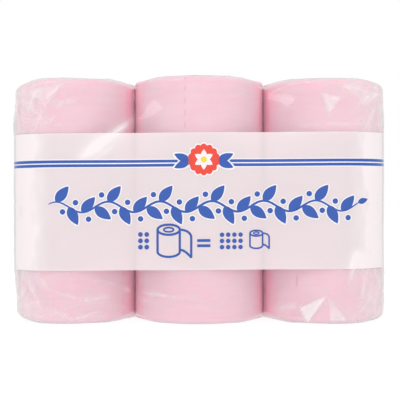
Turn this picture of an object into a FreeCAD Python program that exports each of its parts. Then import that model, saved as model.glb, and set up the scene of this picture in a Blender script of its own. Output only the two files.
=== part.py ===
# Film-wrapped pack of toilet rolls: three columns of two rolls, each wound on a cardboard core.
# Millimetres. X runs along the pack, the front is at -Y and Z is up.
# The origin is at the centre of the pack's underside.
import FreeCAD, Part
import math
import os
import Sketcher
from FreeCAD import Rotation, Vector

doc = FreeCAD.newDocument("roll_pack")

# Driving dimensions
driving = [
    ("strip_width", 97.0, "width of the paper strip, so the height of one roll"),
    ("roll_radius", 53.4, "radius of a roll"),
    ("middle_forward", 2.0, "how far the middle column stands in front of the outer columns"),
    ("end_press", 7.8, "how far the folded film end presses an outer roll flat"),
    ("middle_rim", 4.8, "worn rim of a middle roll at its open end"),
    ("outer_rim", 7.0, "worn rim of an outer roll at its open end"),
    ("tail_step", 0.4, "thickness of the last turn where it ends"),
    ("tail_angle", 68.0, "where the last turn ends, in degrees round from +X"),
    ("core_radius", 20.0, "outer radius of the cardboard core"),
    ("core_wall", 0.7, "thickness of the core"),
    ("core_flats", 40, "narrow flats that draw the core's roundness"),
    ("core_fit", 0.15, "gap between the core and the first turn"),
    ("roll_gap", 0.3, "gap between rolls that stand on or beside each other"),
    ("film_gap", 0.3, "gap between the film and the rolls"),
    ("film_wall", 0.5, "modelled thickness of the film"),
    ("fold_layers", 0.5, "extra thickness of the folded film on the two ends"),
    ("tuck_reach", 52.0, "height of the triangular tucks on the ends"),
    ("seal_width", 9.0, "width of the upright heat seal on the ends"),
    ("seal_proud", 0.4, "how far the heat seal stands proud"),
    ("valley_dip", 3.6, "depth of a film valley below the radius of a roll"),
    ("valley_radius", 60.0, "curve of the film at the bottom of a valley"),
    ("pull_point", 19.4, "how far inside the radius of a roll the point of a pull-down lies"),
    ("pull_lean", 23.0, "how far a pull-down leans along its valley, in degrees"),
    ("pull_length", 40.0, "length of a pull-down from its point, and half its width at that length"),
]
sheet = doc.addObject("Spreadsheet::Sheet", "Sizes")
for row, (word, number, note) in enumerate(driving, start=1):
    sheet.set(f"A{row}", word)
    sheet.set(f"B{row}", str(number))
    sheet.set(f"C{row}", note)
    sheet.setAlias(f"B{row}", word)
doc.recompute()

# Places that follow from the driving dimensions, written as expressions
column_pitch = "(2 * Sizes.roll_radius + Sizes.roll_gap)"
valley_place = "(Sizes.roll_radius + Sizes.roll_gap / 2)"
lower_floor = "(Sizes.film_wall + Sizes.film_gap)"
upper_floor = f"({lower_floor} + Sizes.strip_width + Sizes.roll_gap)"
pack_height = f"({upper_floor} + Sizes.strip_width + {lower_floor})"
film_grow = "(Sizes.film_gap + Sizes.film_wall)"
outer_end = "(Sizes.roll_radius - Sizes.end_press)"
end_plane = f"({column_pitch} + {outer_end} + {film_grow})"
middle_depth = "(-1 * Sizes.middle_forward / 2)"
outer_depth = "(Sizes.middle_forward / 2)"

# Sketcher numbers the points of a curve in this order, and has its own for the sketch's origin
curve_points = ["edge", "start", "end", "centre"]
origin = (-1, 1)
up = Vector(0, 0, 1)


def value(expression):
    return float(sheet.evalExpression(expression))


class Outline:
    """An outline drawn on one of a body's own planes, with its sizes bound to the sheet."""

    def __init__(self, body, name, plane_role="XY_Plane"):
        self.sketch = body.newObject("Sketcher::SketchObject", name)
        plane = next(f for f in body.Origin.OriginFeatures if f.Role == plane_role)
        self.sketch.AttachmentSupport = [(plane, "")]
        self.sketch.MapMode = "FlatFace"

    def arc(self, centre, radius, first, last):
        while last < first:
            last += 2 * math.pi
        circle = Part.Circle(Vector(centre[0], centre[1], 0), up, radius)
        return self.sketch.addGeometry(Part.ArcOfCircle(circle, first, last), False)

    def line(self, first, last):
        ends = [Vector(first[0], first[1], 0), Vector(last[0], last[1], 0)]
        return self.sketch.addGeometry(Part.LineSegment(*ends), False)

    def tie(self, kind, *arguments):
        self.sketch.addConstraint(Sketcher.Constraint(kind, *arguments))

    def measure(self, kind, arguments, expression):
        index = self.sketch.addConstraint(Sketcher.Constraint(kind, *arguments))
        self.sketch.setExpression(f"Constraints[{index}]", expression)

    def point_at(self, curve, end, direction, expression):
        point = (curve, curve_points.index(end))
        reach = value(expression)
        if expression == "0":
            self.tie(direction, *origin, *point, 0.0)
        elif reach < 0:
            self.measure(direction, (*point, *origin, -reach), f"-1 * {expression}")
        else:
            self.measure(direction, (*origin, *point, reach), expression)

    def join(self, kind, curve, end, other, other_end):
        self.tie(kind, curve, curve_points.index(end), other, curve_points.index(other_end))


def pad(body, sketch, length, name):
    feature = body.newObject("PartDesign::Pad", name)
    feature.Profile = sketch
    feature.setExpression("Length", length)
    doc.recompute()
    return feature


def cut_through(body, sketch, name):
    feature = body.newObject("PartDesign::Pocket", name)
    feature.Profile = sketch
    feature.Type = "ThroughAll"
    feature.Midplane = True
    doc.recompute()


def chamfer(body, base, size, name, levels):
    # eases every edge of the outline at the given levels
    names = []
    for number, edge in enumerate(base.Shape.Edges, start=1):
        box = edge.BoundBox
        if any(abs(box.ZMin - z) < 1e-6 and abs(box.ZMax - z) < 1e-6 for z in levels):
            names.append(f"Edge{number}")
    feature = body.newObject("PartDesign::Chamfer", name)
    feature.Base = (base, names)
    feature.setExpression("Size", size)
    doc.recompute()


def place(thing, along="0", depth="0", height="0"):
    thing.setExpression("Placement.Base.x", along)
    thing.setExpression("Placement.Base.y", depth)
    thing.setExpression("Placement.Base.z", height)


# A closed polygon whose corners are given as pairs of expressions, none of them negative
def polygon(body, name, corners, plane="XZ_Plane"):
    outline = Outline(body, name, plane)
    places = [(value(x), value(y)) for x, y in corners]
    lines = [outline.line(one, other) for one, other in zip(places, places[1:] + places[:1])]
    for this, following in zip(lines, lines[1:] + lines[:1]):
        outline.join("Coincident", this, "end", following, "start")
    for line, (x, y) in zip(lines, corners):
        outline.point_at(line, "start", "DistanceX", x)
        outline.point_at(line, "start", "DistanceY", y)
    return outline.sketch


# Wound paper roll: turned about its core, worn at the rim of its open end
def wound_roll(body, label, rim, open_end):
    bore = "(Sizes.core_radius + Sizes.core_fit)"
    radius = "Sizes.roll_radius"
    height = "Sizes.strip_width"
    worn = f"({radius} - {rim})"
    if open_end == "top":
        outer = [(radius, "0"), (radius, f"({height} - {rim})"), (worn, height)]
    else:
        outer = [(worn, "0"), (radius, rim), (radius, height)]
    turned = body.newObject("PartDesign::Revolution", label + "_wound")
    turned.Profile = polygon(body, label + "_section", [(bore, "0")] + outer + [(bore, height)])
    turned.ReferenceAxis = (turned.Profile[0], ["V_Axis"])
    turned.Angle = 360
    doc.recompute()


# Flat pressed into an outer roll by the folded film end, which eases the rim there too
def pressed_flat(body, name, side, rim, open_end):
    reach = outer_end
    height = "Sizes.strip_width"
    eased = f"({reach} - {rim})"
    beyond = f"({reach} + Sizes.roll_radius)"
    if open_end == "top":
        corners = [(reach, "0"), (reach, f"({height} - {rim})"), (eased, height)]
    else:
        corners = [(eased, "0"), (reach, rim), (reach, height)]
    sketch = polygon(body, name + "_outline", corners + [(beyond, height), (beyond, "0")])
    if side < 0:
        sketch.AttachmentOffset = FreeCAD.Placement(Vector(0, 0, 0), Rotation(Vector(0, 1, 0), 180))
    cut_through(body, sketch, name)


# The last turn stops at the back of the roll, and the paper beyond it lies one thickness lower
def end_of_last_turn(body, label):
    under = "(Sizes.roll_radius - Sizes.tail_step)"
    over = "(Sizes.roll_radius + Sizes.tail_step)"
    corners = [(under, "0"), (over, "0"), (over, "Sizes.roll_radius"), (under, "Sizes.roll_radius")]
    sketch = polygon(body, label + "_tail_outline", corners, "XY_Plane")
    sketch.setExpression("AttachmentOffset.Rotation.Angle", "Sizes.tail_angle")
    cut_through(body, sketch, label + "_tail")


def paper_roll(label, pressed_side, rim, open_end):
    body = doc.addObject("PartDesign::Body", label)
    wound_roll(body, label, rim, open_end)
    if pressed_side != 0:
        pressed_flat(body, label + "_end_flat", pressed_side, rim, open_end)
    end_of_last_turn(body, label)
    return body


# Cardboard core: a tube as long as the strip is wide, its roundness drawn as narrow flats
def cardboard_core(label):
    body = doc.addObject("PartDesign::Body", label)
    tube = body.newObject("PartDesign::AdditivePrism", label + "_tube")
    bore = body.newObject("PartDesign::SubtractivePrism", label + "_bore")
    for feature, radius in ((tube, "Sizes.core_radius"), (bore, "Sizes.core_radius - Sizes.core_wall")):
        feature.setExpression("Polygon", "Sizes.core_flats")
        feature.setExpression("Circumradius", radius)
        feature.setExpression("Height", "Sizes.strip_width")
    doc.recompute()
    return body


# One arc of a film skin. Bulge is 1 round a column and -1 in a valley.
def arc_part(bulge, x, y, radius):
    return {"bulge": bulge, "x": x, "y": y, "radius": radius, "centre": (value(x), value(y))}


def heading(one, other):
    # direction of the straight line that leaves one arc and meets the other
    across = other["centre"][0] - one["centre"][0]
    along = other["centre"][1] - one["centre"][1]
    first = one["bulge"] * value(one["radius"])
    second = other["bulge"] * value(other["radius"])
    return math.atan2(along, across) + math.asin((first - second) / math.hypot(across, along))


# Arcs joined by the straight lines that touch both neighbours, from one angle to another
def follow(outline, parts, first_angle, last_angle):
    headings = [heading(one, other) for one, other in zip(parts, parts[1:])]
    joints = []
    for index, part in enumerate(parts):
        quarter = part["bulge"] * math.pi / 2
        arrive = headings[index - 1] - quarter if index > 0 else first_angle
        leave = headings[index] - quarter if index < len(headings) else last_angle
        x, y = part["centre"]
        radius = value(part["radius"])
        outwards = part["bulge"] > 0
        curve = outline.arc((x, y), radius, *((arrive, leave) if outwards else (leave, arrive)))
        outline.measure("Radius", (curve, radius), part["radius"])
        outline.point_at(curve, "centre", "DistanceX", part["x"])
        outline.point_at(curve, "centre", "DistanceY", part["y"])
        joints.append({
            "curve": curve,
            "arrive": "start" if outwards else "end",
            "leave": "end" if outwards else "start",
            "first": (x + radius * math.cos(arrive), y + radius * math.sin(arrive)),
            "last": (x + radius * math.cos(leave), y + radius * math.sin(leave)),
        })
    for this, other in zip(joints, joints[1:]):
        straight = outline.line(this["last"], other["first"])
        outline.join("Tangent", this["curve"], this["leave"], straight, "start")
        outline.join("Tangent", straight, "end", other["curve"], other["arrive"])
    return joints[0], joints[-1]


# One skin of the film: round each column, straight towards the valleys, flat on the two ends
def film_outline(body, name, grow, end_reach):
    outline = Outline(body, name)
    left = f"(-1 * {column_pitch})"
    roll_curve = f"(Sizes.roll_radius + {grow})"
    valley_curve = f"(Sizes.valley_radius - {grow})"
    valley_depth = "(Sizes.roll_radius - Sizes.valley_dip + Sizes.valley_radius)"
    end_angle = math.acos(value(end_reach) / value(roll_curve))

    def run(places, side, first_angle, last_angle):
        parts = []
        for bulge, x in places:
            if bulge < 0:
                parts.append(arc_part(-1, x, f"({side} * {valley_depth})", valley_curve))
            else:
                depth = middle_depth if x == "0" else outer_depth
                parts.append(arc_part(1, x, depth, roll_curve))
        return follow(outline, parts, first_angle, last_angle)

    places = [(1, left), (-1, f"(-1 * {valley_place})"), (1, "0"), (-1, valley_place), (1, column_pitch)]
    front_first, front_last = run(places, -1, math.pi + end_angle, 2 * math.pi - end_angle)
    back_first, back_last = run(places[::-1], 1, end_angle, math.pi - end_angle)
    end_place = f"({column_pitch} + {end_reach})"
    for this, other, side in ((front_last, back_first, 1), (back_last, front_first, -1)):
        flat = outline.line(this["last"], other["first"])
        outline.join("Coincident", this["curve"], this["leave"], flat, "start")
        outline.join("Coincident", flat, "end", other["curve"], other["arrive"])
        outline.tie("Vertical", flat)
        outline.point_at(flat, "start", "DistanceX", f"({side} * {end_place})")
    return outline.sketch


def film_skin(name, grow, end_reach, height, rim):
    body = doc.addObject("PartDesign::Body", name)
    block = pad(body, film_outline(body, name + "_outline", grow, end_reach), height, name + "_block")
    chamfer(body, block, rim, name + "_rims", [0.0, value(height)])
    return body


# Pull-down: the film sinks between two columns where it turns over the rims, as a leaning V
def pull_downs(name, deeper):
    half = "(Sizes.pull_length / sqrt(2))"
    slope = f"(sqrt(Sizes.pull_length * Sizes.pull_length + {half} * {half}) / {half})"
    length = f"(Sizes.pull_length - {deeper} * {slope})"
    reach = f"(Sizes.roll_radius - Sizes.pull_point + {length} * cos(Sizes.pull_lean))"
    sunk = f"({length} * sin(Sizes.pull_lean))"
    pulls = []
    for side in (-1, 1):
        for face in (-1, 1):
            for lean, level in ((-1, sunk), (1, f"({pack_height} - {sunk})")):
                pull = doc.addObject("Part::Wedge", f"{name}_{len(pulls) + 1}")
                pull.setExpression("Xmin", f"-1 * {half}")
                pull.setExpression("Xmax", half)
                pull.setExpression("Zmin", f"-1 * {half}")
                pull.setExpression("Zmax", half)
                pull.Ymin = 0
                pull.setExpression("Ymax", "Sizes.pull_length")
                for corner in ("X2min", "X2max", "Z2min", "Z2max"):
                    setattr(pull, corner, 0)
                facing = Rotation(up, 0 if face < 0 else 180)
                leaning = Rotation(Vector(1, 0, 0), lean * value("Sizes.pull_lean"))
                edgewise = Rotation(Vector(0, 1, 0), 45)
                pull.Placement.Rotation = facing.multiply(leaning).multiply(edgewise)
                place(pull, f"{side} * {valley_place}", f"{face} * {reach}", level)
                pulls.append(pull)
    return pulls


# Tucks: on each end the film's top and bottom are tucked in under the two side flaps
def end_tucks():
    thickness = "(Sizes.fold_layers + Sizes.seal_proud)"
    tucks = []
    for side in (-1, 1):
        for level, turn in (("0", 90), (pack_height, -90)):
            tuck = doc.addObject("Part::Wedge", f"end_tuck_{len(tucks) + 1}")
            for low, high in (("Xmin", "Xmax"), ("X2min", "X2max")):
                setattr(tuck, low, 0)
                tuck.setExpression(high, thickness)
            tuck.Ymin = 0
            tuck.setExpression("Ymax", "Sizes.tuck_reach")
            tuck.setExpression("Zmin", "-1 * Sizes.tuck_reach")
            tuck.setExpression("Zmax", "Sizes.tuck_reach")
            tuck.Z2min = 0
            tuck.Z2max = 0
            tuck.Placement.Rotation = Rotation(Vector(1, 0, 0), turn)
            along = end_plane if side > 0 else f"-1 * ({end_plane} + {thickness})"
            place(tuck, along, "0", level)
            tucks.append(tuck)
    return tucks


# Heat seal: an upright strip down the middle of each end, where the two side flaps overlap
def end_seals():
    seals = []
    for side in (-1, 1):
        seal = doc.addObject("Part::Box", f"end_seal_{len(seals) + 1}")
        seal.setExpression("Length", "Sizes.fold_layers + Sizes.seal_proud")
        seal.setExpression("Width", "Sizes.seal_width")
        seal.setExpression("Height", f"{pack_height} - 2 * Sizes.tuck_reach")
        along = end_plane if side > 0 else f"-1 * ({end_plane} + Sizes.fold_layers + Sizes.seal_proud)"
        place(seal, along, "-1 * Sizes.seal_width / 2", "Sizes.tuck_reach")
        seals.append(seal)
    return seals


def combine(kind, name, first, others):
    if kind == "Cut":
        tools = doc.addObject("Part::MultiFuse", name + "_tools")
        tools.Shapes = others
        result = doc.addObject("Part::Cut", name)
        result.Base = first
        result.Tool = tools
    else:
        result = doc.addObject("Part::MultiFuse", name)
        result.Shapes = [first] + others
    doc.recompute()
    return result


# Film wrap: a closed bag one wall thick, drawn close round the rolls
def film_wrap():
    outer_rim = "(Sizes.middle_rim + (2 - sqrt(2)) * Sizes.film_wall)"
    folded_end = f"({outer_end} + {film_grow} + Sizes.fold_layers)"
    outside = film_skin("film_outside", film_grow, folded_end, pack_height, outer_rim)
    inner_end = f"({outer_end} + Sizes.film_gap)"
    inner_height = f"({pack_height} - 2 * Sizes.film_wall)"
    inside = film_skin("film_inside", "Sizes.film_gap", inner_end, inner_height, "Sizes.middle_rim")
    place(inside, height="Sizes.film_wall")
    shaped = combine("Cut", "film_shaped", outside, pull_downs("film_pull", "0") + end_tucks())
    hollow = combine("Cut", "film_hollow", inside, pull_downs("hollow_pull", "Sizes.film_wall"))
    bag = doc.addObject("Part::Cut", "film_bag")
    bag.Base = shaped
    bag.Tool = hollow
    doc.recompute()
    return combine("Fuse", "film_wrap", bag, end_seals())


columns = [
    ("left", -1, f"-1 * {column_pitch}", outer_depth, "Sizes.outer_rim"),
    ("middle", 0, "0", middle_depth, "Sizes.middle_rim"),
    ("right", 1, column_pitch, outer_depth, "Sizes.outer_rim"),
]
rows = [("lower", lower_floor, "bottom"), ("upper", upper_floor, "top")]
subparts = [film_wrap()]
for row_name, floor, open_end in rows:
    for column_name, pressed_side, along, depth, rim in columns:
        roll = paper_roll(f"roll_{row_name}_{column_name}", pressed_side, rim, open_end)
        core = cardboard_core(f"core_{row_name}_{column_name}")
        for piece in (roll, core):
            place(piece, along, depth, floor)
            subparts.append(piece)
doc.recompute()

# Every feature and every piece is sound before anything is written
for thing in doc.Objects:
    if "Invalid" in thing.State or "Error" in thing.State:
        raise RuntimeError(f"{thing.Label} did not build")
for piece in subparts:
    if piece.Shape.isNull() or not piece.Shape.isValid() or len(piece.Shape.Solids) != 1:
        raise RuntimeError(f"{piece.Label} is not one sound solid")

os.makedirs("parts", exist_ok=True)
for piece in subparts:
    piece.Shape.exportStep(f"parts/{piece.Label}.step")
    print(piece.Label, round(piece.Shape.Volume), "mm3")
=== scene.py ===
import math
import random

import bmesh
import bpy
import numpy as np
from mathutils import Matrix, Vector, noise
from mathutils.bvhtree import BVHTree


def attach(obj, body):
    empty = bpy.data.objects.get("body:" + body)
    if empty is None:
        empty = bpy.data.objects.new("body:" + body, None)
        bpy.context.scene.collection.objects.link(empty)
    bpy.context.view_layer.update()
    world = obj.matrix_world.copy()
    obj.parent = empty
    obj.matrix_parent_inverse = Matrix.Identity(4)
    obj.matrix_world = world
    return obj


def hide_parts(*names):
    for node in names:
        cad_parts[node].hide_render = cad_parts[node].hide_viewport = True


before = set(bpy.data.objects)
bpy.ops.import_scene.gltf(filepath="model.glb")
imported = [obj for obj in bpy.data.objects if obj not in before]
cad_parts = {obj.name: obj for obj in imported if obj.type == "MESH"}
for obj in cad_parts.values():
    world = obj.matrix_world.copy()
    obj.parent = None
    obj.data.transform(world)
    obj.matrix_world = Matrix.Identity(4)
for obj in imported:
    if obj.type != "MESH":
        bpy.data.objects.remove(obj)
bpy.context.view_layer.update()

mm = 0.001
rows = ("lower", "upper")
columns = ("left", "middle", "right")

# the pack as the CAD model has it, in millimetres
pack = {
    "height": 195.9,
    "columnPitch": 107.1,
    "middleForward": 1.0,      # the middle column stands this much to the front, the others to the back
    "rollRadius": 53.4,
    "rollHeight": 97.0,
    "rollFloor": {"lower": 0.8, "upper": 98.1},
    "endFlat": 45.0,           # from an outer roll's axis to its pressed side
    "coreRadius": 20.0,
    "coreWall": 0.7,
}
valleyPlace = pack["columnPitch"] / 2
midHeight = pack["height"] / 2


def smooth(low, high, x):
    t = np.clip((np.asarray(x, float) - low) / (high - low), 0, 1)
    return t * t * (3 - 2 * t)


def addPiece(name, points, faces, materials, faceMaterials=None):
    mesh = bpy.data.meshes.new(name)
    mesh.from_pydata([tuple(p) for p in np.asarray(points, float) * mm], [], [tuple(f) for f in faces])
    for material in materials:
        mesh.materials.append(material)
    if faceMaterials is not None:
        mesh.polygons.foreach_set("material_index", np.asarray(faceMaterials, np.int32))
    mesh.polygons.foreach_set("use_smooth", [True] * len(mesh.polygons))
    mesh.update()
    piece = bpy.data.objects.new(name, mesh)
    bpy.context.scene.collection.objects.link(piece)
    return piece


def hoops(count, around, closed=True):
    # quads between hoops of points, from each hoop to the next and, if closed, from the last to the first
    faces = []
    for i in range(count if closed else count - 1):
        here, above = i * around, ((i + 1) % count) * around
        for k in range(around):
            after = (k + 1) % around
            faces.append((here + k, here + after, above + after, above + k))
    return faces


def addShaped(name, bm, materials):
    # a piece from a finished bmesh in metres
    for f in bm.faces:
        f.smooth = True
    mesh = bpy.data.meshes.new(name)
    bm.to_mesh(mesh)
    bm.free()
    for material in materials:
        mesh.materials.append(material)
    piece = bpy.data.objects.new(name, mesh)
    bpy.context.scene.collection.objects.link(piece)
    return piece


def paint(piece, name, colours):
    layer = piece.data.color_attributes.new(name, "FLOAT_COLOR", "POINT")
    layer.data.foreach_set("color", np.asarray(colours, np.float32).ravel())


def paintHazeAndGlare(piece, hazeAndGlare):
    paint(piece, "hazeAndGlare", np.repeat(np.reshape(hazeAndGlare, (-1, 1)), 4, axis=1))


def weld(piece, distance=0.002):
    bm = bmesh.new()
    bm.from_mesh(piece.data)
    bmesh.ops.remove_doubles(bm, verts=bm.verts, dist=distance * mm)
    bmesh.ops.recalc_face_normals(bm, faces=bm.faces)
    bm.to_mesh(piece.data)
    bm.free()


def cloudy(points, size, seed):
    # soft random field from about -1 to 1, the same on each run
    shift = Vector((seed * 17.3, seed * 5.1, seed * 9.7))
    return np.array([noise.noise(Vector(p) / size + shift) for p in points])


def seat(column, row):
    # which side a column stands on, and the middle of a roll's foot
    side = columns.index(column) - 1
    forward = -pack["middleForward"] if side == 0 else pack["middleForward"]
    return side, side * pack["columnPitch"], forward, pack["rollFloor"][row]


def slumped(x, z):
    # the four outer corners are rounded off and drawn in, the left ones more
    left = x < 0
    high, low = smooth(150, 193, z), smooth(45, 3, z)
    corner = smooth(124, 151, np.abs(x))
    fall = np.where(left, 4.2, 2.6) * high - np.where(left, 3.6, 2.0) * low
    inward = np.where(left, 1.1 * high + 2.3 * smooth(60, 6, z), 0.5 * high) * smooth(138, 150, np.abs(x))
    return x - np.sign(x) * inward, z - fall * corner


# materials
def newMaterial(name):
    material = bpy.data.materials.new(name)
    material.use_nodes = True
    nodes = material.node_tree.nodes
    return material, nodes, nodes["Principled BSDF"]


def addNode(nodes, kind, x=0, y=0, **settings):
    node = nodes.new(kind)
    node.location = (x, y)
    for key, setting in settings.items():
        setattr(node, key, setting)
    return node


def fill(node, values):
    for socket, value in values.items():
        node.inputs[socket].default_value = value


def wire(start, output, end, socket):
    start.id_data.links.new(start.outputs[output], end.inputs[socket])


def addBump(nodes, x, y, source, strength, distance, *wanted):
    bump = addNode(nodes, "ShaderNodeBump", x, y)
    fill(bump, {"Strength": strength, "Distance": distance})
    wire(*source, bump, "Height")
    for node in wanted:
        wire(bump, "Normal", node, "Normal")


def addRamp(nodes, x, y, *stops):
    ramp = addNode(nodes, "ShaderNodeValToRGB", x, y)
    for element, (place, colour) in zip(ramp.color_ramp.elements, stops):
        element.position = place
        element.color = colour
    return ramp


paperLook = {
    "light": (0.860, 0.626, 0.692, 1),
    "deep": (0.842, 0.572, 0.644, 1),
    "crepe": 900.0,            # fine crimp lines to a metre
    "mottle": 45.0,
    "bump": 0.25,
    "scatter": 0.008,          # light spreads this far into the soft turns, in metres
}


def paperMaterial():
    material, nodes, shader = newMaterial("pink tissue")
    fill(shader, {"Roughness": 0.95, "Specular IOR Level": 0.1, "Subsurface Weight": 0.8,
                  "Subsurface Radius": (1.0, 0.35, 0.42), "Subsurface Scale": paperLook["scatter"]})
    place = addNode(nodes, "ShaderNodeUVMap", -1200, 0, uv_map="along the strip")
    flatten = addNode(nodes, "ShaderNodeMapping", -1000, 0)
    fill(flatten, {"Scale": (1, 0.06, 1)})
    crimp = addNode(nodes, "ShaderNodeTexNoise", -800, 0)
    fill(crimp, {"Scale": paperLook["crepe"], "Detail": 3})
    stretched = addNode(nodes, "ShaderNodeMapping", -1000, -300)
    fill(stretched, {"Scale": (0.12, 1, 1)})
    pull = addNode(nodes, "ShaderNodeTexNoise", -800, -300)
    fill(pull, {"Scale": 260, "Detail": 2})
    mottle = addNode(nodes, "ShaderNodeTexNoise", -800, 300)
    fill(mottle, {"Scale": paperLook["mottle"], "Detail": 4})
    wire(place, "UV", flatten, "Vector")
    wire(place, "UV", stretched, "Vector")
    wire(place, "UV", mottle, "Vector")
    wire(flatten, "Vector", crimp, "Vector")
    wire(stretched, "Vector", pull, "Vector")
    blend = addNode(nodes, "ShaderNodeMath", -600, 100, operation="MULTIPLY_ADD")
    fill(blend, {1: 0.5})
    wire(mottle, "Fac", blend, 0)
    half = addNode(nodes, "ShaderNodeMath", -600, -150, operation="MULTIPLY")
    fill(half, {1: 0.5})
    wire(pull, "Fac", half, 0)
    wire(half, 0, blend, 2)
    tone = addRamp(nodes, -400, 200, (0.35, paperLook["deep"]), (0.65, paperLook["light"]))
    wire(blend, 0, tone, "Fac")
    # perforations between the sheets, painted shade between the turns on a roll's face and in a crease, and
    # painted bounce light near the valleys
    marks = addNode(nodes, "ShaderNodeVertexColor", -400, 450, layer_name="marks")
    shade = addNode(nodes, "ShaderNodeMix", -150, 300, data_type="RGBA", blend_type="MULTIPLY")
    fill(shade, {"Factor": 1})
    wire(tone, "Color", shade, "A")
    wire(marks, "Color", shade, "B")
    wire(shade, "Result", shader, "Base Color")
    height = addNode(nodes, "ShaderNodeMath", -400, -100, operation="ADD")
    wire(crimp, "Fac", height, 0)
    wire(pull, "Fac", height, 1)
    addBump(nodes, -200, -100, (height, 0), paperLook["bump"], 0.0002, shader)
    return material


coreLook = {
    "board": (0.50, 0.44, 0.37, 1),
    "dark": (0.38, 0.33, 0.27, 1),
    "fibre": 700.0,
}


def coreMaterial():
    material, nodes, shader = newMaterial("spiral wound board")
    fill(shader, {"Roughness": 0.85})
    place = addNode(nodes, "ShaderNodeUVMap", -900, 0, uv_map="round the tube")
    fibre = addNode(nodes, "ShaderNodeTexNoise", -700, 0)
    fill(fibre, {"Scale": coreLook["fibre"], "Detail": 6})
    wind = addNode(nodes, "ShaderNodeTexWave", -700, -300, wave_type="BANDS", bands_direction="DIAGONAL")
    fill(wind, {"Scale": 12, "Distortion": 0.4})
    wire(place, "UV", fibre, "Vector")
    wire(place, "UV", wind, "Vector")
    seam = addRamp(nodes, -450, -300, (0.0, (0.6, 0.6, 0.6, 1)), (0.08, (1, 1, 1, 1)))
    wire(wind, "Fac", seam, "Fac")
    tone = addRamp(nodes, -450, 0, (0.35, coreLook["dark"]), (0.65, coreLook["board"]))
    wire(fibre, "Fac", tone, "Fac")
    join = addNode(nodes, "ShaderNodeMix", -200, 0, data_type="RGBA", blend_type="MULTIPLY")
    fill(join, {"Factor": 1})
    wire(tone, "Color", join, "A")
    wire(seam, "Color", join, "B")
    wire(join, "Result", shader, "Base Color")
    addBump(nodes, -200, -200, (fibre, "Fac"), 0.4, 0.0003, shader)
    return material


filmLook = {
    "gloss": 0.10,             # roughness of the film's shine
    "bump": 0.07,
    "shine": 0.04,             # share of light that both sides of the film throw back head on
    "veil": (0.96, 0.95, 0.955, 1),
    "bandVeil": (0.866, 0.786, 0.804, 1),
    "bandCover": 0.76,         # how much of the paper the milky ink hides
    "blue": (0.012, 0.080, 0.400, 1),
    "white": (0.96, 0.94, 0.96, 1),
    "red": (0.800, 0.045, 0.018, 1),
    "yellow": (0.900, 0.640, 0.020, 1),
}


def filmMaterial(name, cover, colour, useHaze=True):
    # ink or haze lies in the film, and in places the haze is painted highlight: see-through where there is
    # neither, with a clear shine over both
    material, nodes, shader = newMaterial(name)
    output = nodes["Material Output"]
    fill(shader, {"Base Color": colour, "Roughness": 0.35, "Specular IOR Level": 0.3})
    clear = addNode(nodes, "ShaderNodeBsdfTransparent", -300, 200)
    fill(clear, {"Color": (0.985, 0.985, 0.985, 1)})
    veil = addNode(nodes, "ShaderNodeMixShader", 0, 100)
    wire(clear, 0, veil, 1)
    wire(shader, 0, veil, 2)
    if useHaze:
        hazeAndGlare = addNode(nodes, "ShaderNodeVertexColor", -700, 0, layer_name="hazeAndGlare")
        place = addNode(nodes, "ShaderNodeTexCoord", -1100, -200)
        cloud = addNode(nodes, "ShaderNodeTexNoise", -900, -200)
        fill(cloud, {"Scale": 60, "Detail": 1.5})
        wire(place, "Object", cloud, "Vector")
        span = addNode(nodes, "ShaderNodeMapRange", -700, -200)
        fill(span, {"To Min": 0.5, "To Max": 1.5})
        wire(cloud, "Fac", span, "Value")
        patch = addNode(nodes, "ShaderNodeMath", -500, -50, operation="MULTIPLY")
        wire(hazeAndGlare, "Color", patch, 0)
        wire(span, 0, patch, 1)
        total = addNode(nodes, "ShaderNodeMath", -300, 0, operation="ADD", use_clamp=True)
        fill(total, {1: cover})
        wire(patch, 0, total, 0)
        wire(total, 0, veil, "Fac")
    else:
        fill(veil, {"Fac": cover})
    shine = addNode(nodes, "ShaderNodeBsdfGlossy", 0, -150)
    fill(shine, {"Roughness": filmLook["gloss"]})
    facing = addNode(nodes, "ShaderNodeLayerWeight", -400, 400)
    fill(facing, {"Blend": 0.5})
    steep = addNode(nodes, "ShaderNodeMath", -200, 400, operation="POWER")
    fill(steep, {1: 5})
    edge = addNode(nodes, "ShaderNodeMath", 0, 400, operation="MULTIPLY_ADD", use_clamp=True)
    fill(edge, {1: 1 - filmLook["shine"], 2: filmLook["shine"]})
    wire(facing, "Facing", steep, 0)
    wire(steep, 0, edge, 0)
    crackle = addNode(nodes, "ShaderNodeTexNoise", -500, -500)
    fill(crackle, {"Scale": 160, "Detail": 1.5})
    where = addNode(nodes, "ShaderNodeTexCoord", -700, -500)
    wire(where, "Object", crackle, "Vector")
    addBump(nodes, -250, -500, (crackle, "Fac"), filmLook["bump"], 0.0004, shine, facing, shader)
    film = addNode(nodes, "ShaderNodeMixShader", 250, 100)
    wire(edge, 0, film, "Fac")
    wire(veil, 0, film, 1)
    wire(shine, 0, film, 2)
    wire(film, 0, output, "Surface")
    return material


pinkTissue = paperMaterial()
coreBoard = coreMaterial()
clearFilm = filmMaterial("clear film", 0.015, filmLook["veil"])
milkyBand = filmMaterial("milky band ink", filmLook["bandCover"], filmLook["bandVeil"])
blueInk = filmMaterial("blue ink", 0.97, filmLook["blue"], False)
whiteInk = filmMaterial("white ink", 0.85, filmLook["white"], False)
redInk = filmMaterial("red ink", 0.98, filmLook["red"], False)
yellowInk = filmMaterial("yellow ink", 0.98, filmLook["yellow"], False)
print("materials made")


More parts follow.
